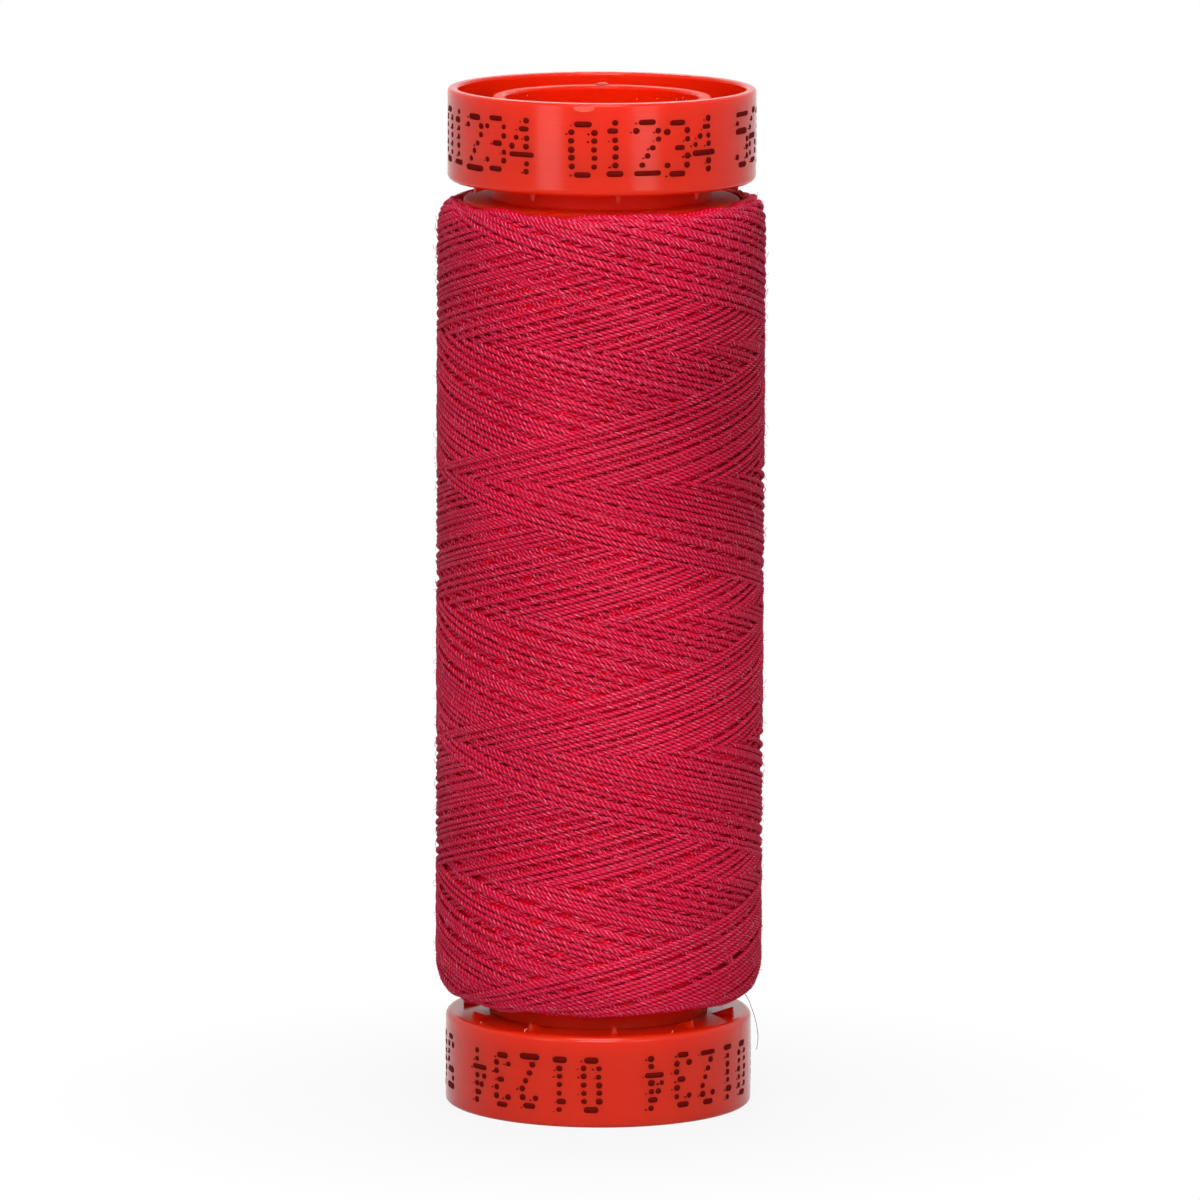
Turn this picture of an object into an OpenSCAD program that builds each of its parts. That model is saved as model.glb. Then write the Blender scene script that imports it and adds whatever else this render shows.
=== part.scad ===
// Small sewing thread spool: a hollow barrel with two winding flanges, two end caps that
// snap on over its ends, and a package of thread wound between the flanges.
// The axis is Z. Z = 0 is the rim of the lower cap, with both caps in their open position.

/* [Spool] */
// Height over both end caps while they stand open
spool_h = 60; // [52:0.5:70]

/* [Barrel] */
// Diameter of the bore that goes over the spool pin
bore_d = 11.3; // [9:0.1:14]
// Thickness of the barrel's wall
barrel_wall = 0.75; // [0.6:0.05:1.2]
// Depth of each barrel end below the rim of its open cap
barrel_recess = 0.5; // [0.2:0.1:1]
// Distance of a flange's rim inwards from the outside of the caps
flange_inset = 0.9; // [0.5:0.05:1.1]
// Thickness of a winding flange
flange_t = 0.8; // [0.5:0.1:1.2]
// Radius at a flange's rim
flange_edge_r = 0.2; // [0.1:0.05:0.24]
// Radius at the barrel's ends
barrel_edge_r = 0.2; // [0.1:0.05:0.3]

/* [Snap] */
// Height of the bead that holds a cap
bead_h = 0.16; // [0.1:0.02:0.24]
// Width of the bead at its foot
bead_w = 0.8; // [0.6:0.05:1]
// Length of the slope on each side of the bead
bead_slope = 0.24; // [0.15:0.01:0.28]
// Play between a cap and the barrel, on the radius
slide_play = 0.05; // [0.02:0.01:0.1]
// Play left at each end of the cap's travel
stop_play = 0.04; // [0.02:0.01:0.1]
// Travel of a cap from open to closed
cap_travel = 0.5; // [0.2:0.05:0.5]

/* [End caps] */
// Height of a cap
cap_h = 5.4; // [4.4:0.1:7]
// Width of the ring-shaped recess between a cap's hub and its outer wall
recess_w = 1.04; // [0.7:0.01:1.6]
// Thickness of a cap's outer wall
cap_wall = 0.6; // [0.45:0.05:0.8]
// Thickness of the web that faces the flange
web_t = 0.8; // [0.6:0.05:1]
// Thickness of the hub's wall
hub_wall = 0.75; // [0.6:0.05:0.9]
// Height of the hub
hub_h = 3; // [2.8:0.1:3.8]
// Radius of the corner beside the catch gap
catch_corner_r = 0.35; // [0.2:0.05:0.5]
// Radius at the cap's rim
cap_edge_r = 0.2; // [0.1:0.05:0.2]
// Radius where the web meets the wall and the hub
web_fillet = 0.25; // [0.1:0.05:0.3]

/* [Thread catch] */
// Gap between cap and flange while the cap stands open
catch_gap = 1.05; // [1:0.05:1.4]
// Number of catch teeth on a cap
tooth_count = 10; // [6:1:14]
// Height of a tooth at its outer end
tooth_h = 0.45; // [0.3:0.05:0.45]
// Length of a tooth along the radius
tooth_len = 1.3; // [0.8:0.1:1.4]
// Width of a tooth at its foot
tooth_foot = 0.36; // [0.3:0.02:0.6]
// Width of a tooth's ridge
tooth_ridge = 0.12; // [0.1:0.02:0.2]
// Turn of the first tooth about the axis, from the front
tooth_turn = 6.7; // [0:0.1:36]

/* [Thread package] */
// How far the wound thread stands out past the caps
package_proud = 0.6; // [0.3:0.05:1]
// Diameter of the thread
thread_d = 0.3; // [0.2:0.02:0.34]
// Play between the thread and what it is wound on
thread_play = 0.05; // [0.05:0.01:0.1]
// Height of the package's round shoulders
shoulder_h = 1.6; // [1:0.1:2.4]
// Thickness of the lip of thread that lies over a flange's rim
lip_t = 0.12; // [0.08:0.02:0.3]
// Turns of the outer thread from flange to flange
loops = 24; // [12:1:24]
// Distance from a flange's outer face to where a thread end meets the shoulder
end_d = 0.55; // [0.5:0.05:0.8]

/* [Hidden] */
$fn = 144;

FRONT = -90;              // the front faces -Y
ARC_STEPS = 8;            // steps in a small arc of a profile
SHOULDER_STEPS = 14;      // steps in a shoulder of the package
FUSE = 0.1;               // depth by which a ring runs into the barrel that carries it

// Radii, from the bore outwards
bore_r = bore_d / 2;
barrel_r = bore_r + barrel_wall;
hub_bore_r = barrel_r + slide_play;
hub_r = hub_bore_r + bead_h + hub_wall;
cap_in_r = hub_r + recess_w;
cap_r = cap_in_r + cap_wall;
flange_r = cap_r - flange_inset;
package_r = cap_r + package_proud;
thread_r = thread_d / 2;
lip_in_r = flange_r + thread_play;             // inside of the thread that passes a flange's rim

barrel_z = barrel_recess;
barrel_len = spool_h - 2 * barrel_recess;
flange_z = cap_h + catch_gap;                  // outer face of the lower flange
windings_z = flange_z + flange_t;

// Distances of the snap along a cap, from its face at the catch gap
groove_len = bead_w + cap_travel + 2 * stop_play;
groove_s = (hub_h - groove_len) / 2;
bead_s = groove_s + stop_play;

// An arc of points about c, from the angle a0 to the angle a1
function arc(c, r, a0, a1) =
    [for (i = [0 : ARC_STEPS]) let (a = a0 + (a1 - a0) * i / ARC_STEPS)
        [c.x + r * cos(a), c.y + r * sin(a)]];

// ---- Barrel ----

// The bead that holds a cap, from z upwards
module bead(z) {
    translate([0, 0, z])
        rotate_extrude()
            polygon([
                [barrel_r - FUSE, 0],
                [barrel_r, 0],
                [barrel_r + bead_h, bead_slope],
                [barrel_r + bead_h, bead_w - bead_slope],
                [barrel_r, bead_w],
                [barrel_r - FUSE, bead_w]
            ]);
}

module flange(z) {
    e = flange_edge_r;
    translate([0, 0, z])
        rotate_extrude()
            polygon(concat(
                [[barrel_r - FUSE, 0]],
                arc([flange_r - e, e], e, -90, 0),
                arc([flange_r - e, flange_t - e], e, 0, 90),
                [[barrel_r - FUSE, flange_t]]
            ));
}

module core_tube() {
    e = barrel_edge_r;
    color("#E03A28") {
        translate([0, 0, barrel_z])
            rotate_extrude()
                polygon(concat(
                    arc([bore_r + e, e], e, 180, 270),
                    arc([barrel_r - e, e], e, 270, 360),
                    arc([barrel_r - e, barrel_len - e], e, 0, 90),
                    arc([bore_r + e, barrel_len - e], e, 90, 180)
                ));
        flange(flange_z);
        flange(spool_h - windings_z);
        bead(cap_h - bead_s - bead_w);
        bead(spool_h - cap_h + bead_s);
    }
}

// ---- End caps ----

// Half section of a cap: x is the radius, y the distance from the face at the catch gap
function cap_section() =
    let (c = catch_corner_r, e = cap_edge_r, f = web_fillet)
    concat(
        [[hub_bore_r, 0]],
        arc([cap_r - c, c], c, -90, 0),
        arc([cap_r - e, cap_h - e], e, 0, 90),
        arc([cap_in_r + e, cap_h - e], e, 90, 180),
        arc([cap_in_r - f, web_t + f], f, 0, -90),
        arc([hub_r + f, web_t + f], f, -90, -180),
        arc([hub_r - e, hub_h - e], e, 0, 90),
        arc([hub_bore_r + e, hub_h - e], e, 90, 180),
        [
            [hub_bore_r, groove_s + groove_len],
            [hub_bore_r + bead_h, groove_s + groove_len - bead_slope],
            [hub_bore_r + bead_h, groove_s + bead_slope],
            [hub_bore_r, groove_s]
        ]
    );

// A thin tooth on the catch face, which stands down from z = 0 and is lower towards the axis
module tooth() {
    root = web_t / 2;
    in_r = flange_r - tooth_len;
    intersection() {
        rotate([90, 0, 0])
            linear_extrude(height = tooth_foot, center = true)
                polygon([[in_r, root], [in_r, 0], [flange_r, -tooth_h], [flange_r, root]]);
        rotate([90, 0, 90])
            linear_extrude(height = cap_r)
                polygon([
                    [-tooth_foot / 2, root],
                    [-tooth_foot / 2, 0],
                    [-tooth_ridge / 2, -tooth_h],
                    [tooth_ridge / 2, -tooth_h],
                    [tooth_foot / 2, 0],
                    [tooth_foot / 2, root]
                ]);
    }
}

// A cap with its catch face at z = 0 and its rim upwards
module end_cap(first_tooth) {
    rotate_extrude()
        polygon(cap_section());
    for (i = [0 : tooth_count - 1])
        rotate([0, 0, first_tooth + 360 * i / tooth_count])
            tooth();
}

module upper_end_cap() {
    color("#E03A28")
        translate([0, 0, spool_h - cap_h])
            end_cap(FRONT + tooth_turn);
}

module lower_end_cap() {
    color("#E03A28")
        translate([0, 0, cap_h])
            rotate([180, 0, 0])
                end_cap(-FRONT - tooth_turn);
}

// ---- Thread package ----

LOOP_RINGS = 24;          // rings of the tube in a loop
TUBE_SIDES = 6;
EASE = 0.5;               // turns over which the route comes out from an end to its full radius
BEND = [30, 60, 90];      // angles of the points in the bend before an end

route_r = package_r - thread_r;
chord_sag = route_r * (1 - cos(180 / LOOP_RINGS));
windings_r = route_r - chord_sag - thread_r - thread_play;
shoulder_drop = windings_r - lip_in_r - lip_t;

// Radius of the inner windings at the distance d from a flange's outer face
function shoulder_radius(d) =
    windings_r - shoulder_drop * (1 - sqrt(1 - pow(1 - min(d / shoulder_h, 1), 2)));

// Outline of the inner windings on one side, from the lower flange to the upper one
function shoulder_points() =
    [for (i = [0 : SHOULDER_STEPS]) let (d = shoulder_h * (1 - cos(90 * i / SHOULDER_STEPS)))
        [shoulder_radius(d), flange_z + d]];

module inner_windings() {
    low = shoulder_points();
    high = [for (p = low) [p.x, spool_h - p.y]];
    in_r = barrel_r + thread_play;
    low_z = windings_z + thread_play;
    color("#C41E4A")
        rotate_extrude()
            polygon(concat(
                [[lip_in_r, flange_z], [lip_in_r, low_z], [in_r, low_z]],
                [[in_r, spool_h - low_z], [lip_in_r, spool_h - low_z], [lip_in_r, spool_h - flange_z]],
                high,
                reversed(low)
            ));
}

function reversed(list) = [for (i = [len(list) - 1 : -1 : 0]) list[i]];

// The thread's end meets the shoulder at foot and stands square to it: both are given as
// a radius and a distance from the outer face of the flange
end_slope = shoulder_drop * (1 - end_d / shoulder_h)
    / (shoulder_h * sqrt(1 - pow(1 - end_d / shoulder_h, 2)));
end_normal = [1, -end_slope] / norm([1, end_slope]);
foot = [shoulder_radius(end_d), end_d] + thread_play * end_normal;
turn_in = foot + (thread_d + thread_r) * end_normal;

function ease(t) = let (x = min(1, t / EASE)) x * x * (3 - 2 * x);

// Point of the route after t turns
function route_point(t) =
    let (
        r = turn_in.x + (route_r - turn_in.x) * ease(min(t, loops - t)),
        z_low = flange_z + turn_in.y,
        z = z_low + (spool_h - 2 * z_low) * t / loops
    )
    [r * cos(360 * t), r * sin(360 * t), z];

// The bend and the straight end after t turns: side is -1 at the lower end, 1 at the upper one
function tail(t, side) =
    let (
        along = side * [-sin(360 * t), cos(360 * t), 0],
        in = -[end_normal.x * cos(360 * t), end_normal.x * sin(360 * t), -side * end_normal.y],
        bend = [for (a = BEND) route_point(t) + thread_r * (sin(a) * along + (1 - cos(a)) * in)]
    )
    concat(bend, [bend[len(bend) - 1] + thread_d * in]);

route = concat(
    reversed(tail(0, -1)),
    [for (i = [0 : loops * LOOP_RINGS]) route_point(i / LOOP_RINGS)],
    tail(loops, 1)
);

// The ring of points about the route at its point i
function tube_ring(i) =
    let (
        n = len(route),
        run = route[min(i + 1, n - 1)] - route[max(i - 1, 0)],
        t = run / norm(run),
        up = [0, 0, 1] - t.z * t,
        b = up / norm(up),
        o = cross(b, t)
    )
    [for (k = [0 : TUBE_SIDES - 1]) let (a = 360 * (k + 0.5) / TUBE_SIDES)
        route[i] + thread_r * (cos(a) * o + sin(a) * b)];

module outer_windings() {
    n = len(route);
    m = TUBE_SIDES;
    points = [for (i = [0 : n - 1]) each tube_ring(i)];
    walls = [for (i = [0 : n - 2]) for (k = [0 : m - 1])
        let (a = i * m + k, b = i * m + (k + 1) % m)
        each [[a, b, b + m], [a, b + m, a + m]]];
    last = (n - 1) * m;
    ends = [for (k = [1 : m - 2]) each [[0, k + 1, k], [last, last + k, last + k + 1]]];
    color("#C41E4A")
        polyhedron(points = points, faces = concat(walls, ends));
}

// Least gap of the thread to itself, on the route's points and the middles between them
OWN_RUN = 12;             // points nearer than this along the thread belong to the same run
middles = [for (i = [0 : len(route) - 2]) each [route[i], (route[i] + route[i + 1]) / 2]];
least_gap = min([for (i = [0 : len(middles) - 1 - OWN_RUN])
    for (j = [i + OWN_RUN : len(middles) - 1]) norm(middles[i] - middles[j])]) - thread_d;
echo(loops = loops, least_gap = least_gap);

core_tube();
upper_end_cap();
lower_end_cap();
inner_windings();
outer_windings();
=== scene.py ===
import math
import random
import bmesh
import bpy
from mathutils import Matrix, Vector


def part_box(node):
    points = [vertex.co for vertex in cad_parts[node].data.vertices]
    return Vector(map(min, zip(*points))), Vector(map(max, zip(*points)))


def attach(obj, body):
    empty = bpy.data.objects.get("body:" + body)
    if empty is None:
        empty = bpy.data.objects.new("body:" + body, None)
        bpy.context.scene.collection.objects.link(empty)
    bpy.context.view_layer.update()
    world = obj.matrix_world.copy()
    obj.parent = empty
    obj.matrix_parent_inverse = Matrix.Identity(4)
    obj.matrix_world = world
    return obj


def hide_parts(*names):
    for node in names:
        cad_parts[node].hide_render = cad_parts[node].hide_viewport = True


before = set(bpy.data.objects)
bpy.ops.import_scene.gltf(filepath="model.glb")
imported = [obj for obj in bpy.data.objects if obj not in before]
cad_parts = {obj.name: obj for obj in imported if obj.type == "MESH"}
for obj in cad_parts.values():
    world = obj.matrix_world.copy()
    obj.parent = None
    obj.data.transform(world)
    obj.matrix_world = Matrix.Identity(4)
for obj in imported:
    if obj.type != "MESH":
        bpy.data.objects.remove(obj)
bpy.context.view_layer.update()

mm = 0.001
scene = bpy.context.scene
scene.view_settings.view_transform = "Standard"

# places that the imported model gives
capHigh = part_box("upper_end_cap")[1]
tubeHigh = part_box("core_tube")[1]
woundLow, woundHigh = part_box("inner_windings")
capR = capHigh.x
flangeR = tubeHigh.x
topZ = capHigh.z
flangeLowZ, flangeHighZ = woundLow.z, woundHigh.z


def linearColour(code):
    # sRGB hex to the linear colour that a shader takes
    parts = [int(code[i:i + 2], 16) / 255 for i in (1, 3, 5)]
    return tuple(c / 12.92 if c <= 0.04045 else ((c + 0.055) / 1.055) ** 2.4 for c in parts) + (1,)


def smooth(low, high, x):
    x = min(1, max(0, (x - low) / (high - low)))
    return x * x * (3 - 2 * x)


def addNode(tree, kind, settings={}, inputs={}):
    node = tree.nodes.new(kind)
    for name, value in settings.items():
        setattr(node, name, value)
    for name, value in inputs.items():
        if isinstance(value, bpy.types.NodeSocket):
            tree.links.new(value, node.inputs[name])
        else:
            node.inputs[name].default_value = value
    return node


def newMaterial(name):
    material = bpy.data.materials.new(name)
    material.use_nodes = True
    material.node_tree.nodes.clear()
    return material, material.node_tree


def finishMaterial(tree, shader):
    addNode(tree, "ShaderNodeOutputMaterial", inputs={"Surface": shader.outputs[0]})


def meshFromBmesh(bm, name):
    mesh = bpy.data.meshes.new(name)
    bm.to_mesh(mesh)
    bm.free()
    return mesh


def addPiece(name, mesh, material, body, replaced=()):
    piece = bpy.data.objects.new(name, mesh)
    scene.collection.objects.link(piece)
    mesh.materials.clear()
    mesh.materials.append(material)
    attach(piece, body)
    if replaced:
        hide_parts(*replaced)
    return piece


def onWall(phi, r, z):
    # a point at the angle phi from the front, to the right when seen from the front
    return Vector((r * math.sin(phi), -r * math.cos(phi), z))


def sectionCurve(name, radii):
    # the closed section of a thread or fibre, one point for each radius
    curve = bpy.data.curves.new(name, "CURVE")
    curve.dimensions = "2D"
    spline = curve.splines.new("POLY")
    spline.points.add(len(radii) - 1)
    spline.use_cyclic_u = True
    for i, r in enumerate(radii):
        a = -2 * math.pi * i / len(radii)
        spline.points[i].co = (r * math.cos(a), r * math.sin(a), 0, 1)
    holder = bpy.data.objects.new(name, curve)
    scene.collection.objects.link(holder)
    return holder


def sweepMesh(name, radii, paths, tilts=None):
    # tubes of one section along many open paths, made by Blender's own curve bevel
    section = sectionCurve(name + "Section", radii)
    curve = bpy.data.curves.new(name, "CURVE")
    curve.dimensions = "3D"
    curve.bevel_mode = "OBJECT"
    curve.bevel_object = section
    curve.twist_mode = "Z_UP"
    curve.use_fill_caps = True
    for i, path in enumerate(paths):
        spline = curve.splines.new("POLY")
        spline.points.add(len(path) - 1)
        spline.points.foreach_set("co", [c for p in path for c in (p[0], p[1], p[2], 1)])
        if tilts:
            spline.points.foreach_set("tilt", tilts[i])
    holder = bpy.data.objects.new(name, curve)
    scene.collection.objects.link(holder)
    mesh = bpy.data.meshes.new_from_object(holder.evaluated_get(bpy.context.evaluated_depsgraph_get()))
    bpy.data.objects.remove(holder)
    bpy.data.objects.remove(section)
    mesh.name = name
    mesh.shade_smooth()
    return mesh


mouldedPlastic = {
    "colour": "#EA2A06",
    "shade": "#E22204",
    "gloss": 0.24,             # specular level
    "roughness": 0.17,
    "tubeGloss": 0.1,          # the tube shines less than the caps
    "tubeRoughness": 0.5,      # of the tube's outside, where its mould was matt
    "boreR": 5.8 * mm,         # the bore's faces lie inside this radius
    "streakH": 0.12 * mm,      # height of the faint flow streaks round the axis
    "streakRun": 9 * mm,       # their length round a cap
    "glow": 2.4 * mm,          # how far light spreads in the wall
    "speck": 0.09 * mm,        # size of the dust specks in the tube
    "sweep": 4 * mm,           # size of the places where they lie
    "ripple": 0.006 * mm,      # depth of the flow streaks
    "dust": "#FF9A80",
    "ior": 1.49,
}


def polypropylene(name, tube=False):
    # injection-moulded polypropylene, dyed through: glossy and a little translucent, with faint
    # flow streaks round the axis. The tube hardly shines outside, and some dust lies in its bore
    p = mouldedPlastic
    material, tree = newMaterial(name)
    place = addNode(tree, "ShaderNodeTexCoord").outputs["Object"]
    flow = addNode(tree, "ShaderNodeMapping", inputs={
        "Vector": place, "Scale": (1 / p["streakRun"], 1 / p["streakRun"], 1 / p["streakH"])})
    streaks = addNode(tree, "ShaderNodeTexNoise", inputs={"Vector": flow.outputs[0], "Scale": 1, "Detail": 3})
    tone = addNode(tree, "ShaderNodeMix", {"data_type": "RGBA"}, {
        "Factor": streaks.outputs["Fac"], "A": linearColour(p["colour"]), "B": linearColour(p["shade"])})
    colour = tone.outputs["Result"]
    level, baseRough = p["gloss"], p["roughness"]
    if tube:
        grains = addNode(tree, "ShaderNodeTexVoronoi", inputs={
            "Vector": place, "Scale": 1 / (4 * p["speck"])})
        dust = addNode(tree, "ShaderNodeMapRange", inputs={
            "Value": grains.outputs["Distance"], "From Min": 0.1, "From Max": 0.14, "To Min": 1, "To Max": 0})
        swept = addNode(tree, "ShaderNodeTexNoise", inputs={"Vector": place, "Scale": 1 / p["sweep"]})
        settled = addNode(tree, "ShaderNodeMapRange", inputs={
            "Value": swept.outputs["Fac"], "From Min": 0.48, "From Max": 0.56})
        flat = addNode(tree, "ShaderNodeVectorMath", {"operation": "MULTIPLY"}, {0: place, 1: (1, 1, 0)})
        reach = addNode(tree, "ShaderNodeVectorMath", {"operation": "LENGTH"}, {0: flat.outputs[0]})
        inside = addNode(tree, "ShaderNodeMath", {"operation": "LESS_THAN"}, {
            0: reach.outputs["Value"], 1: p["boreR"]})
        where = addNode(tree, "ShaderNodeMath", {"operation": "MULTIPLY"}, {
            0: settled.outputs[0], 1: inside.outputs[0]})
        specks = addNode(tree, "ShaderNodeMath", {"operation": "MULTIPLY"}, {
            0: dust.outputs[0], 1: where.outputs[0]})
        tone = addNode(tree, "ShaderNodeMix", {"data_type": "RGBA"}, {
            "Factor": specks.outputs[0], "A": colour, "B": linearColour(p["dust"])})
        colour = tone.outputs["Result"]
        level = p["tubeGloss"]
        baseRough = addNode(tree, "ShaderNodeMath", {"operation": "MULTIPLY_ADD"}, {
            0: inside.outputs[0], 1: p["roughness"] - p["tubeRoughness"], 2: p["tubeRoughness"]}).outputs[0]
    rough = addNode(tree, "ShaderNodeMapRange", inputs={
        "Value": streaks.outputs["Fac"], "To Min": -0.03, "To Max": 0.05})
    rough = addNode(tree, "ShaderNodeMath", {"operation": "ADD"}, {0: rough.outputs[0], 1: baseRough})
    relief = addNode(tree, "ShaderNodeBump", inputs={
        "Height": streaks.outputs["Fac"], "Strength": 0.25, "Distance": p["ripple"]})
    shader = addNode(tree, "ShaderNodeBsdfPrincipled", inputs={
        "Base Color": colour, "Roughness": rough.outputs[0], "IOR": p["ior"], "Normal": relief.outputs[0],
        "Subsurface Weight": 0.9, "Subsurface Radius": (1, 0.12, 0.05), "Subsurface Scale": p["glow"],
        "Specular IOR Level": level})
    finishMaterial(tree, shader)
    return material


redPlastic = polypropylene("moulded_polypropylene")
tubePlastic = polypropylene("moulded_polypropylene_tube", tube=True)
for node in ("core_tube", "upper_end_cap", "lower_end_cap"):
    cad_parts[node].data.materials.clear()
    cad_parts[node].data.materials.append(tubePlastic if node == "core_tube" else redPlastic)
print("plastic done")

spunThread = {
    # the ridge colour is lighter and pinker than the valley colour: painted light on the crowns of the plies
    # and painted shade between them
    "ridge": "#D23868",        # on the crown of a ply
    "shadedValley": "#CA001E",       # between two plies
    # the layers beneath have the same thread in redder, brighter colours: painted light for the red light
    # that bounces between the turns in their shade
    "innerLitRidge": "#EA0E3E",   # the same two in the layer beneath
    "innerShadedValley": "#DE0228",
    "lowestLitRidge": "#F40A38",  # and in the lowest one that is drawn
    "lowestShadedValley": "#EC0226",
    # painted highlight: pale pink in the base colour where fibres glint on the crowns
    "paintedGlint": "#FFA2BE",        # where fibres shine on a crown
    "gloss": 0.12,             # weight of the silky coat
    "roughness": 0.28,
    "ior": 1.5,
    "lay": 1.0 * mm,           # length of one full twist of the three plies
    "plies": 3,
    "crownR": 0.153 * mm,      # from the thread's middle to the crown of a ply
    "valleyR": 0.121 * mm,     # and to the valley between two
    "strand": 0.5 * mm,        # length of a fibre's streak
    "strandsRound": 16,        # streaks round the thread
    "grain": 0.03 * mm,        # depth of the relief that the fibres give
    "patch": 7 * mm,           # size of the faint changes of shade over the package
    "dullAt": (7.6 * mm, -5.9 * mm, 41 * mm),
    "dullReach": 10 * mm,      # the one larger place where the thread is darker
}


def polyesterThread(name, ridge, shadedValley, turns):
    # three-ply spun polyester: silky, with short streaks of fibre, painted shade between its plies and
    # painted light on their crowns. turns is the twist to draw over the whole UV length, where the mesh
    # itself has none
    p = spunThread
    material, tree = newMaterial(name)
    source = addNode(tree, "ShaderNodeTexCoord")
    split = addNode(tree, "ShaderNodeSeparateXYZ", inputs={"Vector": source.outputs["UV"]})
    twist = addNode(tree, "ShaderNodeMath", {"operation": "MULTIPLY_ADD"}, {
        0: split.outputs["X"], 1: turns, 2: split.outputs["Y"]})
    angle = addNode(tree, "ShaderNodeMath", {"operation": "MULTIPLY"}, {
        0: twist.outputs[0], 1: 2 * math.pi * p["plies"]})
    wave = addNode(tree, "ShaderNodeMath", {"operation": "COSINE"}, {0: angle.outputs[0]})
    crown = addNode(tree, "ShaderNodeMapRange", inputs={"Value": wave.outputs[0], "From Min": -0.2})
    along = addNode(tree, "ShaderNodeMapping", inputs={
        "Vector": source.outputs["UV"], "Scale": (passRun / p["strand"], p["strandsRound"], 1)})
    strands = addNode(tree, "ShaderNodeTexNoise", inputs={
        "Vector": along.outputs[0], "Scale": 1, "Detail": 2})
    lively = addNode(tree, "ShaderNodeMath", {"operation": "MULTIPLY_ADD"}, {
        0: strands.outputs["Fac"], 1: 0.9, 2: -0.45})
    height = addNode(tree, "ShaderNodeMath", {"operation": "ADD", "use_clamp": True}, {
        0: crown.outputs[0], 1: lively.outputs[0]})
    patches = addNode(tree, "ShaderNodeTexNoise", inputs={
        "Vector": source.outputs["Object"], "Scale": 1 / p["patch"], "Detail": 4})
    # from the valley colour to the ridge colour with the height of the plies: painted shade between the
    # plies, painted light on their crowns
    tone = addNode(tree, "ShaderNodeMix", {"data_type": "RGBA"}, {
        "Factor": height.outputs[0], "A": linearColour(shadedValley), "B": linearColour(ridge)})
    shade = addNode(tree, "ShaderNodeMapRange", inputs={
        "Value": patches.outputs["Fac"], "From Min": 0.3, "From Max": 0.7, "To Min": 0.88, "To Max": 1.06})
    # painted highlights: short glints of fibre on the crowns, mixed into the base colour
    raised = addNode(tree, "ShaderNodeMath", {"operation": "MULTIPLY"}, {
        0: crown.outputs[0], 1: strands.outputs["Fac"]})
    paintedShine = addNode(tree, "ShaderNodeMapRange", inputs={
        "Value": raised.outputs[0], "From Min": 0.5, "From Max": 0.68})
    tone = addNode(tree, "ShaderNodeMix", {"data_type": "RGBA"}, {
        "Factor": paintedShine.outputs[0], "A": tone.outputs["Result"], "B": linearColour(p["paintedGlint"])})
    away = addNode(tree, "ShaderNodeVectorMath", {"operation": "DISTANCE"}, {
        0: source.outputs["Object"], 1: p["dullAt"]})
    dull = addNode(tree, "ShaderNodeMapRange", inputs={
        "Value": away.outputs["Value"], "From Max": p["dullReach"], "To Min": 0.68})
    shaded = addNode(tree, "ShaderNodeMath", {"operation": "MULTIPLY"}, {
        0: shade.outputs[0], 1: dull.outputs[0]})
    colour = addNode(tree, "ShaderNodeVectorMath", {"operation": "SCALE"}, {
        0: tone.outputs["Result"], "Scale": shaded.outputs[0]})
    relief = addNode(tree, "ShaderNodeBump", inputs={
        "Height": height.outputs[0], "Strength": 0.35, "Distance": p["grain"]})
    shader = addNode(tree, "ShaderNodeBsdfPrincipled", inputs={
        "Base Color": colour.outputs[0], "Roughness": p["roughness"], "IOR": p["ior"],
        "Normal": relief.outputs[0], "Specular IOR Level": 0, "Coat Weight": p["gloss"],
        "Coat Roughness": p["roughness"], "Coat Normal": relief.outputs[0]})
    finishMaterial(tree, shader)
    return material


winding = {
    "threadD": 0.26 * mm,
    "packageR": 9.6 * mm,
    "passTurns": 3,            # turns from flange to flange
    "doublePasses": 40,        # double passes in the outer cover
    "leastPitch": 0.98,        # of two passes side by side, in threads: they press together a little
    "layerStep": 0.16 * mm,    # from the thread on top to the one that it crosses
    "newestTurn": -75,         # degrees from the front of the newest turning point
    "turnSpread": 0.25 * mm,   # how unevenly high the turning points lie
    "topShift": 0.12,          # and the upper ones round the flange, in gaps between passes
    "turnWidth": (14, 30),     # degrees over which a turn is rounded
    "swaySize": (0.01 * mm, 0.035 * mm),
    "swayRate": (0.4, 1.7),    # waves of the sway in a turn
    "lift": 0.03 * mm,         # how unevenly high a pass lies on the package
    "settle": 0.04,            # share of a double pass, at its ends, where sway and lift fade
    "offFlange": 0.55,         # least way from a thread's middle to the flange's edge, in threads
    "ringStep": 0.122 * mm,    # from section to section of a thread
    "lowerStep": 1.2 * mm,     # the same in the layers beneath, whose plies aren't modelled
    "lowerR": 0.19 * mm,       # their thread is a little fuller, to close the layers
    "lowShoulderH": 2.2 * mm,
    "highShoulderH": 1.6 * mm,
    "shoulderDrop": 1.3 * mm,
    "rise": 0.35 * mm,         # how much higher the upper shoulder stands on its right side
    "perPiece": 4,             # double passes in one piece
}
passLead = (flangeHighZ - flangeLowZ) / winding["passTurns"]
turnRun = math.hypot(2 * math.pi * winding["packageR"], passLead)
passRun = 2 * winding["passTurns"] * turnRun        # length of thread in a double pass


def upperEnd(phi):
    # height of the package's upper end, which isn't quite even round the flange
    return flangeHighZ + winding["rise"] * max(0, math.sin(phi)) ** 2


def envelopeR(z, phi=0):
    # outside radius of the package, with its round shoulders
    d = min((z - flangeLowZ) / winding["lowShoulderH"], (upperEnd(phi) - z) / winding["highShoulderH"])
    if d >= 1:
        return winding["packageR"]
    return winding["packageR"] - winding["shoulderDrop"] * (1 - math.sqrt(max(0, 1 - (1 - d) ** 2)))


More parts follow.
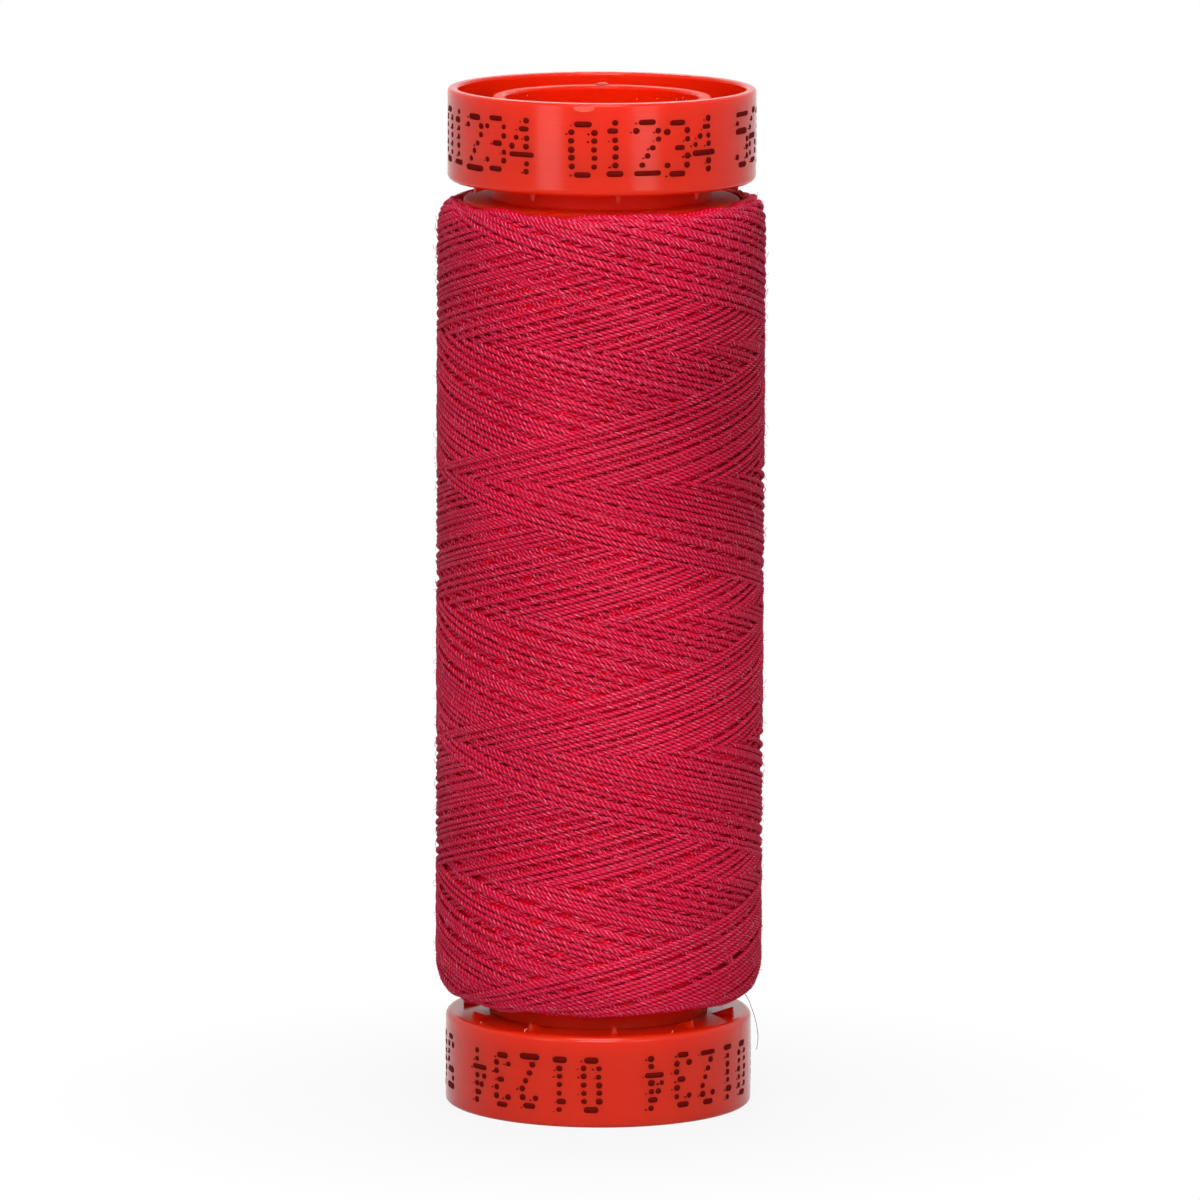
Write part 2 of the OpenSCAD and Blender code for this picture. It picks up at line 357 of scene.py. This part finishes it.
def passAges(count, rng):
    # ages of the double passes, from 0 for the newest towards 1, unevenly spaced
    least = winding["threadD"] * winding["leastPitch"] / passLead
    spare = 1 - count * least
    shares = [rng.random() ** 2 + 0.04 for i in range(count)]
    ages, a = [], 0
    for share in shares:
        ages.append(a)
        a += least + spare * share / sum(shares)
    return ages


def underOther(other, own, oldest):
    # 1 where the crossing thread is newer than this one and lies over it, 0 where it lies under it
    edge = 0.5 / winding["doublePasses"]
    over = smooth(-edge, edge, own - other)
    wrap = smooth(oldest + 0.1 * (1 - oldest), 1 - 0.1 * (1 - oldest), other)
    return max(over, wrap)


def windPaths(count, seed, sink, step):
    # the thread from its oldest pass to its newest, cut where it turns at the lower flange: each
    # path goes up and down again
    rng = random.Random(seed)
    w = winding
    turn = math.radians(w["newestTurn"])
    ages = passAges(count, rng)
    oldest = ages[-1]
    gap = 2 * math.pi / count
    lows = [(flangeLowZ - rng.uniform(0, w["turnSpread"]), math.radians(rng.uniform(*w["turnWidth"])))
            for i in range(count + 1)]
    paths = []
    for k in range(count - 1, -1, -1):
        # the thread goes on to the next newer pass, a little less than six turns later
        nextAge = ages[k - 1] if k else -1 / count
        start = turn + 2 * math.pi * ages[k]
        end = start + 4 * math.pi * w["passTurns"] - 2 * math.pi * (ages[k] - nextAge)
        top = (start + end) / 2 + rng.uniform(-w["topShift"], w["topShift"]) * gap
        upper = max(flangeHighZ + rng.uniform(0, w["turnSpread"]), upperEnd(top))
        topWidth = math.radians(rng.uniform(*w["turnWidth"]))
        turns = ((start, 1, lows[k + 1][1]), (top, -1, topWidth), (end, 1, lows[k][1]))
        sway = [(rng.uniform(*w["swayRate"]), rng.uniform(0, 6.28), rng.uniform(*w["swaySize"]))
                for i in range(3)]
        lift = rng.uniform(-w["lift"], w["lift"])
        n = int(passRun / step)
        path = []
        for i in range(n + 1):
            p = start + (end - start) * i / n
            rising = p < top
            # height on the ideal zigzag, with its turning points rounded
            if rising:
                z = lows[k + 1][0] + (upper - lows[k + 1][0]) * (p - start) / (top - start)
            else:
                z = upper + (lows[k][0] - upper) * (p - top) / (end - top)
            for at, side, width in turns:
                q = abs(p - at)
                if q < width:
                    z += side * (width - q) ** 2 / (2 * width) * passLead / (2 * math.pi)
            loose = smooth(0, w["settle"], i / n) * smooth(0, w["settle"], 1 - i / n)
            z += loose * sum(size * math.sin(rate * p + phase) for rate, phase, size in sway)
            place = (p - turn) / (2 * math.pi)
            crossing = (z - flangeLowZ) / passLead if rising else (flangeLowZ - z) / passLead
            own = ages[k] + (nextAge - ages[k]) * i / n
            deep = underOther((crossing + place) % 1, own, oldest)
            r = envelopeR(z, p) - w["threadD"] / 2 - sink + loose * lift - w["layerStep"] * deep
            path.append(onWall(p, max(r, flangeR + w["threadD"] * w["offFlange"]), z))
        paths.append(path)
    return paths


def smoothPath(points, step):
    # a curve through the points, with a new point after each step of its length
    points = [points[0] * 2 - points[1]] + points + [points[-1] * 2 - points[-2]]
    path = []
    for a, b, c, d in zip(points, points[1:], points[2:], points[3:]):
        n = max(1, round((c - b).length / step))
        for i in range(n):
            t = i / n
            path.append(0.5 * (2 * b + (c - a) * t + (2 * a - 5 * b + 4 * c - d) * t ** 2
                               + (3 * b - a - 3 * c + d) * t ** 3))
    return path + [points[-2]]


def tuckedEnd(path, step):
    # the thread goes on over the flange's edge and ends in the catch gap under it. The last points
    # of its pass give way to a smoother run
    first, last = path[-tuckFrom], path[-1]
    phi = math.atan2(last.x, -last.y)
    points = [first, last] + [onWall(phi + math.radians(turn), r * mm, z * mm) for turn, r, z in endTurns]
    return path[:-tuckFrom] + smoothPath(points, step)


def threadTilts(paths):
    # the twist of the plies, which goes on from path to path
    turned, tilts = 0, []
    for path in paths:
        turnEach = 2 * math.pi * passRun / (len(path) - 1) / spunThread["lay"]
        tilts.append([turned + i * turnEach for i in range(len(path))])
        turned += (len(path) - 1) * turnEach
    return tilts


t = spunThread
drawnTurns = passRun / t["lay"]     # for the layers whose plies aren't modelled
outerThread = polyesterThread("spun_polyester", t["ridge"], t["shadedValley"], 0)
# copies of the thread whose colours are painted brighter for the shade they lie in; their plies are drawn by
# the painted shade and the bump alone
innerThread = polyesterThread("spun_polyester_beneath", t["innerLitRidge"], t["innerShadedValley"], drawnTurns)
lowestThread = polyesterThread("spun_polyester_lowest", t["lowestLitRidge"], t["lowestShadedValley"], drawnTurns)

# places of the thread's end: degrees on from the last pass, radius and height in mm
endTurns = [(4, 8.85, 7.4), (7.5, 8.55, 6.95), (10.5, 8.35, 6.55),
            (13, 8.0, 6.28), (15.5, 7.5, 6.27), (17.5, 7.05, 6.27)]
tuckFrom = 9        # points before the end of the last pass
plyRadii = (t["crownR"], t["valleyR"]) * t["plies"]
ringStep = winding["ringStep"] * 1
outerPaths = windPaths(winding["doublePasses"], 7, 0, ringStep)
outerPaths[-1] = tuckedEnd(outerPaths[-1], ringStep)
outerTilts = threadTilts(outerPaths)
for i in range(0, len(outerPaths), winding["perPiece"]):
    name = "outerTurns%d" % (i // winding["perPiece"] + 1)
    group = slice(i, i + winding["perPiece"])
    mesh = sweepMesh(name, plyRadii, outerPaths[group], outerTilts[group])
    addPiece(name, mesh, outerThread, "spool", ["outer_windings"])
    print(name, len(mesh.polygons))

# the layers that show between the outer turns
for name, fewer, seed, layers, thread in (
        ("turnsBeneath", 4, 19, 2, innerThread), ("lowestTurns", 8, 23, 3, lowestThread)):
    sink = layers * winding["layerStep"]
    paths = windPaths(winding["doublePasses"] - fewer, seed, sink, winding["lowerStep"])
    half = len(paths) // 2
    for i, group in enumerate((paths[:half], paths[half:])):
        mesh = sweepMesh(name + str(i + 1), (winding["lowerR"],) * 6, group)
        addPiece(name + str(i + 1), mesh, thread, "spool", ["inner_windings"])
        print(name + str(i + 1), len(mesh.polygons))

woundBody = {
    "sink": 0.65 * mm,         # of its outside under the package's
    "insideR": 7 * mm,         # clear of the barrel
    "short": 1.0 * mm,         # how far it stops from each flange
    "steps": 120,
    "rows": 40,
    # both band colours are redder and brighter than the outer thread: painted light for the red light that
    # bounces down between the turns
    "paler": "#FA0830",
    "darker": "#F40220",
    "bandRun": 2 * mm,         # length of its bands of shade
}


def deepThread(name):
    # the thread far down between the turns: dull, in faint bands one thread high. Its colour is painted
    # brighter and redder than the outer thread's, as light in the shade there
    b = woundBody
    material, tree = newMaterial(name)
    place = addNode(tree, "ShaderNodeTexCoord").outputs["Object"]
    rows = addNode(tree, "ShaderNodeMapping", inputs={
        "Vector": place, "Scale": (1 / b["bandRun"], 1 / b["bandRun"], 1 / winding["threadD"])})
    bands = addNode(tree, "ShaderNodeTexNoise", inputs={"Vector": rows.outputs[0], "Scale": 1, "Detail": 2})
    tone = addNode(tree, "ShaderNodeMix", {"data_type": "RGBA"}, {
        "Factor": bands.outputs["Fac"], "A": linearColour(b["paler"]), "B": linearColour(b["darker"])})
    shader = addNode(tree, "ShaderNodeBsdfPrincipled", inputs={
        "Base Color": tone.outputs["Result"], "Roughness": 0.9, "Specular IOR Level": 0.1})
    finishMaterial(tree, shader)
    return material


# a closed ring of packed thread round the barrel, whose outside follows the package
bm = bmesh.new()
b = woundBody
bottom, crown = flangeLowZ + b["short"], flangeHighZ - b["short"]
ring = [bm.verts.new((b["insideR"], 0, bottom))]
for i in range(b["rows"] + 1):
    z = bottom + (crown - bottom) * (1 - math.cos(math.pi * i / b["rows"])) / 2
    ring.append(bm.verts.new((envelopeR(z) - b["sink"], 0, z)))
ring.append(bm.verts.new((b["insideR"], 0, crown)))
edges = [bm.edges.new(pair) for pair in zip(ring, ring[1:] + ring[:1])]
bmesh.ops.spin(bm, geom=ring + edges, cent=(0, 0, 0), axis=(0, 0, 1), angle=2 * math.pi,
               steps=b["steps"], use_merge=True)
bmesh.ops.remove_doubles(bm, verts=bm.verts, dist=0.001 * mm)
bmesh.ops.recalc_face_normals(bm, faces=bm.faces)
mesh = meshFromBmesh(bm, "woundBody")
mesh.shade_smooth()
addPiece("woundBody", mesh, deepThread("spun_polyester_deep"), "spool", ["inner_windings"])
print("thread done")

fuzz = {
    "count": 7000,
    "fibreR": 0.013 * mm,      # twice the real fibre, which would be too thin to show
    "length": (0.25 * mm, 1.0 * mm),
    "points": 4,
    "root": 0.1 * mm,          # from the thread's middle to where a fibre starts
    "rise": (0.15, 0.9),       # how steeply it stands off
    "lean": 0.7,
    "shadeRun": 0.8 * mm,      # from a pale stretch of a fibre to the next
}


def strayFibres(paths, rng):
    # short ends of fibre that stand off the outer turns
    hairs = []
    while len(hairs) < fuzz["count"]:
        path = rng.choice(paths)
        i = rng.randrange(2, len(path) - 2)
        at = path[i]
        out = Vector((at.x, at.y, 0)).normalized()
        if math.hypot(at.x, at.y) < envelopeR(at.z) - winding["threadD"]:
            continue
        run = (path[i + 1] - path[i - 1]).normalized() * rng.choice((-1, 1))
        side = run.cross(out)
        length = rng.uniform(*fuzz["length"]) * rng.random()
        rise, lean = rng.uniform(*fuzz["rise"]), rng.uniform(-fuzz["lean"], fuzz["lean"])
        hair = []
        for j in range(fuzz["points"]):
            t = j / (fuzz["points"] - 1)
            reach = run * (1 - 0.45 * t) + side * lean * t + out * rise * t * (1.4 - t)
            hair.append(at + out * fuzz["root"] + reach * length * t)
        hairs.append(hair)
    return hairs


def bareFibre(name, colour, tip):
    # single polyester fibres: thin enough to look paler than the thread
    material, tree = newMaterial(name)
    place = addNode(tree, "ShaderNodeTexCoord").outputs["Object"]
    noise = addNode(tree, "ShaderNodeTexNoise", inputs={"Vector": place, "Scale": 1 / fuzz["shadeRun"]})
    tone = addNode(tree, "ShaderNodeMix", {"data_type": "RGBA"}, {
        "Factor": noise.outputs["Fac"], "A": linearColour(colour), "B": linearColour(tip)})
    shader = addNode(tree, "ShaderNodeBsdfPrincipled", inputs={
        "Base Color": tone.outputs["Result"], "Roughness": 0.5, "IOR": spunThread["ior"]})
    finishMaterial(tree, shader)
    return material


mesh = sweepMesh("strayFibres", (fuzz["fibreR"],) * 3, strayFibres(outerPaths, random.Random(41)))
addPiece("strayFibres", mesh, bareFibre("polyester_fibre", "#C41E4A", "#F0708E"), "spool")
print("stray fibres", len(mesh.polygons))

# one loose fibre that hangs from the lower shoulder beside the cap, and bits of lint on the cap's
# rim, by their places in mm
looseFibre = [(8.3, -1.5, 7.0), (8.75, -1.85, 6.45), (8.98, -2.15, 5.95), (9.2, -2.1, 5.3), (9.34, -2.3, 4.7),
              (9.4, -2.2, 4.1), (9.32, -2.3, 3.4)]
lintBits = [
    [(-4.3, -7.5, 5.42), (-4.27, -7.55, 5.56), (-4.16, -7.6, 5.62)],
    [(-6.9, -4.75, 5.42), (-6.84, -4.8, 5.46)],
    [(4.3, -7.5, 5.42), (4.36, -7.45, 5.5)],
]
for name, paths, r, body, colours in (
        ("looseFibre", [looseFibre], 0.022 * mm, "spool", ("#A87A84", "#8A6A74")),
        ("lintBits", lintBits, 0.028 * mm, "lower_cap", ("#F0BCB0", "#E8A8A0"))):
    paths = [smoothPath([Vector(p) * mm for p in path], 0.1 * mm) for path in paths]
    mesh = sweepMesh(name, (r,) * 5, paths)
    addPiece(name, mesh, bareFibre(name + "_fibre", *colours), body)

digitRows = {
    "0": (" ### ", "#   #", "#   #", "#   #", "#   #", "#   #", " ### "),
    "1": ("  #  ", " ##  ", "  #  ", "  #  ", "  #  ", "  #  ", " ### "),
    "2": (" ### ", "#   #", "    #", "   # ", "  #  ", " #   ", "#####"),
    "3": (" ### ", "#   #", "    #", "  ## ", "    #", "#   #", " ### "),
    "4": ("   # ", "  ## ", " # # ", "#  # ", "#####", "   # ", "   # "),
    "5": ("#####", "#    ", "#### ", "    #", "    #", "#   #", " ### "),
    "6": ("  ## ", " #   ", "#    ", "#### ", "#   #", "#   #", " ### "),
    "7": ("#####", "    #", "   # ", "   # ", "  #  ", "  #  ", "  #  "),
    "8": (" ### ", "#   #", "#   #", " ### ", "#   #", "#   #", " ### "),
    "9": (" ### ", "#   #", "#   #", " ####", "    #", "   # ", " ##  "),
}
numberRing = {
    "pitch": 0.49 * mm,        # from dot to dot
    "dotR": 0.17 * mm,
    "places": 30,              # round a cap, every sixth of them blank
    "fromEnd": 2.6 * mm,       # from the spool's end to the middle of the digits
    "upperSqueeze": 0.67,      # pitch across to pitch in height
    "lowerSqueeze": 0.45,
    "upperTurn": -19,          # degrees from the front of a blank place
    "lowerTurn": 9.5,
    "film": 0.012 * mm,        # thickness of the ink
    "root": 0.01 * mm,         # depth of a pad's underside in the wall
    "rowShift": 0.12 * mm,     # how far a digit may stand too high or too low
    "dotShift": 0.025 * mm,    # how far a dot may lie off its place
    "dotSize": (0.82, 1.1),    # shares of the dot's radius
    "dotWidth": (1.0, 1.2),    # how much wider than high a dot may be
    "splashR": (0.035 * mm, 0.06 * mm),
    "splashShare": 0.5,        # share of the dots with a splash of ink beside them
    "blot": 0.2 * mm,          # size of the changes of shade in the ink
}


def addPad(bm, x, z, halfWidth, halfHeight, corner, columns=6):
    # a flat pad with round ends on the unrolled wall, corner being the length of a round end
    made = bmesh.ops.create_grid(bm, x_segments=columns, y_segments=2, size=1)
    for vert in made["verts"]:
        px = halfWidth * math.sin(vert.co.x * math.pi / 2)
        over = max(0, abs(px) - (halfWidth - corner)) / corner
        vert.co = (x + px, 0, z + vert.co.y * halfHeight * math.sqrt(max(0.05, 1 - over ** 2)))


def wrapPads(bm, wallR, film, root):
    # gives the pads their thickness and lays them round the wall
    low = bm.verts[:]
    made = bmesh.ops.extrude_face_region(bm, geom=bm.faces[:], use_keep_orig=True)
    for vert in low:
        vert.co.y = -root
    for vert in made["geom"]:
        if isinstance(vert, bmesh.types.BMVert):
            vert.co.y = film
    for vert in bm.verts:
        vert.co = onWall(vert.co.x / wallR, wallR + vert.co.y, vert.co.z)
    bmesh.ops.recalc_face_normals(bm, faces=bm.faces)


def numberPads(bm, midZ, squeeze, turn, upsideDown, rng):
    # digits of printed dots round the wall, in groups of five like the numbers on a dial
    n = numberRing
    side = -1 if upsideDown else 1
    across = n["pitch"] * squeeze
    for i in range(n["places"]):
        if i % 6 == 0:
            continue
        digit = digitRows[str((i - 1 - i // 6) % 10)]
        midX = capR * (math.radians(turn) + side * 2 * math.pi * i / n["places"])
        baseline = rng.uniform(-n["rowShift"], n["rowShift"])
        for row, dots in enumerate(digit):
            starts = [c for c in range(5) if dots[c] == "#" and (c == 0 or dots[c - 1] != "#")]
            for start in starts:
                run = len(dots[start:].split(" ")[0])
                dx = (start + (run - 1) / 2 - 2) * across + rng.uniform(-n["dotShift"], n["dotShift"])
                dz = (3 - row) * n["pitch"] + baseline + rng.uniform(-n["dotShift"], n["dotShift"])
                r = n["dotR"] * rng.uniform(*n["dotSize"])
                halfWidth = (run - 1) / 2 * across + r * rng.uniform(*n["dotWidth"])
                x, z = midX + side * dx, midZ + side * dz
                addPad(bm, x, z, halfWidth, r, r, 6 + 2 * run)
                if rng.random() < n["splashShare"]:
                    splash = rng.uniform(*n["splashR"])
                    splashX = x - halfWidth - rng.uniform(0.08, 0.2) * mm
                    splashZ = z - rng.uniform(0.05, 0.15) * mm
                    addPad(bm, splashX, splashZ, splash * 1.3, splash, splash)


def markingInk(name):
    # solvent ink from a dot printer: a thin dull film, a little uneven
    material, tree = newMaterial(name)
    place = addNode(tree, "ShaderNodeTexCoord").outputs["Object"]
    blots = addNode(tree, "ShaderNodeTexNoise", inputs={
        "Vector": place, "Scale": 1 / numberRing["blot"]})
    tone = addNode(tree, "ShaderNodeMix", {"data_type": "RGBA"}, {
        "Factor": blots.outputs["Fac"], "A": linearColour("#540602"), "B": linearColour("#781008")})
    shader = addNode(tree, "ShaderNodeBsdfPrincipled", inputs={
        "Base Color": tone.outputs["Result"], "Roughness": 0.7, "Specular IOR Level": 0.03})
    finishMaterial(tree, shader)
    return material


ink = markingInk("dot_printer_ink")
for end, midZ, upsideDown, seed in (
        ("upper", topZ - numberRing["fromEnd"], False, 3), ("lower", numberRing["fromEnd"], True, 5)):
    name, body = end + "Numbers", end + "_cap"
    squeeze, turn = numberRing[end + "Squeeze"], numberRing[end + "Turn"]
    bm = bmesh.new()
    numberPads(bm, midZ, squeeze, turn, upsideDown, random.Random(seed))
    wrapPads(bm, capR, numberRing["film"], numberRing["root"])
    mesh = meshFromBmesh(bm, name)
    mesh.shade_smooth()
    addPiece(name, mesh, ink, body)
    print(name, len(mesh.polygons))

gateMark = {
    "halfWidth": 0.62 * mm,
    "halfHeight": 0.2 * mm,
    "below": 0.28 * mm,        # from the cap's end to the mark's middle
    "corner": 0.17 * mm,       # from the cap's end to the mark's straight side
    "film": 0.012 * mm,        # how far it stands out
    "upperTurn": -6.6,         # degrees from the front
    "lowerTurn": 150,
    "grain": 0.25 * mm,        # size and depth of its roughness
    "grainDepth": 0.03 * mm,
}


def whitenedPlastic(name):
    # the same polypropylene where it was torn from its gate: paler and dull
    material, tree = newMaterial(name)
    place = addNode(tree, "ShaderNodeTexCoord").outputs["Object"]
    noise = addNode(tree, "ShaderNodeTexNoise", inputs={
        "Vector": place, "Scale": 1 / gateMark["grain"], "Detail": 3})
    tone = addNode(tree, "ShaderNodeMix", {"data_type": "RGBA"}, {
        "Factor": noise.outputs["Fac"], "A": linearColour("#E83018"), "B": linearColour("#EE5C44")})
    relief = addNode(tree, "ShaderNodeBump", inputs={
        "Height": noise.outputs["Fac"], "Strength": 0.5, "Distance": gateMark["grainDepth"]})
    shader = addNode(tree, "ShaderNodeBsdfPrincipled", inputs={
        "Base Color": tone.outputs["Result"], "Roughness": 0.55, "IOR": mouldedPlastic["ior"],
        "Normal": relief.outputs[0]})
    finishMaterial(tree, shader)
    return material


paleMark = whitenedPlastic("torn_polypropylene")
for name, body, turn, low, side in (
        ("upperGateMark", "upper_cap", gateMark["upperTurn"], topZ, -1),
        ("lowerGateMark", "lower_cap", gateMark["lowerTurn"], 0, 1)):
    bm = bmesh.new()
    addPad(bm, capR * math.radians(turn), low + side * gateMark["below"], gateMark["halfWidth"],
           gateMark["halfHeight"], gateMark["halfWidth"], 14)
    for vert in bm.verts:
        vert.co.z = low + side * max(gateMark["corner"], side * (vert.co.z - low))
    wrapPads(bm, capR, gateMark["film"], numberRing["root"])
    addPiece(name, meshFromBmesh(bm, name), paleMark, body)

# the stub of the tube's own gate, on its upper rim at the back
tubeGate = {
    "halfWidth": 0.42 * mm,
    "halfDepth": 0.2 * mm,
    "height": 0.14 * mm,
    "rimR": 6.03 * mm,         # from the axis to its middle
}
bm = bmesh.new()
bmesh.ops.create_uvsphere(bm, u_segments=20, v_segments=10, radius=1)
for vert in bm.verts:
    vert.co = (vert.co.x * tubeGate["halfWidth"], tubeGate["rimR"] + vert.co.y * tubeGate["halfDepth"],
               tubeHigh.z + vert.co.z * tubeGate["height"])
mesh = meshFromBmesh(bm, "tubeGateMark")
mesh.shade_smooth()
addPiece("tubeGateMark", mesh, redPlastic, "spool")
print("marks done")

view = {
    "distance": 640.6 * mm,
    "elevation": 8.8,          # degrees
    "aimZ": 29.77 * mm,
    "lens": 327.5,
    "roll": 0.23,              # degrees
    "clip": (0.01, 10),        # metres
}


def makeCamera():
    data = bpy.data.cameras.new("camera")
    data.lens = view["lens"]
    data.clip_start, data.clip_end = view["clip"]
    camera = bpy.data.objects.new("camera", data)
    scene.collection.objects.link(camera)
    e = math.radians(view["elevation"])
    aim = Vector((0, 0, view["aimZ"]))
    back = Vector((0, -math.cos(e), math.sin(e)))
    turn = back.to_track_quat("Z", "Y")
    camera.rotation_mode = "QUATERNION"
    camera.rotation_quaternion = turn @ Matrix.Rotation(math.radians(view["roll"]), 3, "Z").to_quaternion()
    camera.location = aim + back * view["distance"]
    scene.camera = camera


softboxes = {
    # name: azimuth and elevation in degrees, distance, width and height in metres, watts
    "softboxLeft": (-39, 8, 0.27, 0.085, 0.12, 0.092),
    "softboxRight": (32, 8, 0.27, 0.085, 0.12, 0.086),
    "softboxFront": (0, 28, 0.6, 0.3, 0.3, 2.1),
    "softboxTop": (0, 70, 0.6, 0.3, 0.3, 1.8),
    "softboxBack": (180, 46, 0.6, 0.3, 0.3, 1.7),
}
lampAimZ = 30 * mm      # the middle of the object


def addSoftbox(name, azimuth, elevation, distance, width, height, power):
    data = bpy.data.lights.new(name, "AREA")
    data.shape = "RECTANGLE"
    data.size, data.size_y = width, height
    data.energy = power
    lamp = bpy.data.objects.new(name, data)
    scene.collection.objects.link(lamp)
    e = math.radians(elevation)
    back = onWall(math.radians(azimuth), math.cos(e), math.sin(e))
    lamp.location = Vector((0, 0, lampAimZ)) + back * distance
    lamp.rotation_mode = "QUATERNION"
    lamp.rotation_quaternion = back.to_track_quat("Z", "Y")


makeCamera()
for name, settings in softboxes.items():
    addSoftbox(name, *settings)


def seenDirectly(tree):
    # 1 for rays from the camera, through glass and off gloss, 0 for light on the object
    rays = addNode(tree, "ShaderNodeLightPath")
    seen = addNode(tree, "ShaderNodeMath", {"operation": "MAXIMUM"}, {
        0: rays.outputs["Is Camera Ray"], 1: rays.outputs["Is Transmission Ray"]})
    return addNode(tree, "ShaderNodeMath", {"operation": "MAXIMUM"}, {
        0: seen.outputs[0], 1: rays.outputs["Is Glossy Ray"]}).outputs[0]


stage = {
    "fill": 0.03,              # brightness of the room that lights the object
    "halfSize": 0.6,           # metres
    "paper": "#B8B8B8",
    "shadowFrom": 9 * mm,
    "shadowTo": 34 * mm,
    "shadowShare": 0.12,       # how dark the shadow is at its start
}
plainWhite = (1, 1, 1, 1)

world = bpy.data.worlds.new("studio")
scene.world = world
world.use_nodes = True
tree = world.node_tree
tree.nodes.clear()
fill = addNode(tree, "ShaderNodeBackground", inputs={"Color": plainWhite, "Strength": stage["fill"]})
white = addNode(tree, "ShaderNodeBackground", inputs={"Color": plainWhite, "Strength": 1})
mixed = addNode(tree, "ShaderNodeMixShader", inputs={
    0: seenDirectly(tree), 1: fill.outputs[0], 2: white.outputs[0]})
addNode(tree, "ShaderNodeOutputWorld", inputs={"Surface": mixed.outputs[0]})


def plainStage(name):
    # white paper, seen as plain white except for a faint shadow round the object's foot
    material, tree = newMaterial(name)
    place = addNode(tree, "ShaderNodeTexCoord").outputs["Object"]
    reach = addNode(tree, "ShaderNodeVectorMath", {"operation": "LENGTH"}, {0: place})
    share = addNode(tree, "ShaderNodeMapRange", inputs={
        "Value": reach.outputs["Value"], "From Min": stage["shadowFrom"], "From Max": stage["shadowTo"],
        "To Min": 1 - stage["shadowShare"], "To Max": 1})
    plain = addNode(tree, "ShaderNodeMath", {"operation": "MULTIPLY"}, {
        0: seenDirectly(tree), 1: share.outputs[0]})
    paper = addNode(tree, "ShaderNodeBsdfDiffuse", inputs={"Color": linearColour(stage["paper"])})
    glow = addNode(tree, "ShaderNodeEmission", inputs={"Color": plainWhite, "Strength": 1})
    mixed = addNode(tree, "ShaderNodeMixShader", inputs={
        0: plain.outputs[0], 1: paper.outputs[0], 2: glow.outputs[0]})
    finishMaterial(tree, mixed)
    return material


bm = bmesh.new()
bmesh.ops.create_grid(bm, x_segments=1, y_segments=1, size=stage["halfSize"])
floor = bpy.data.objects.new("floor", meshFromBmesh(bm, "floor"))
scene.collection.objects.link(floor)
floor.data.materials.append(plainStage("white_paper"))
print("stage done")
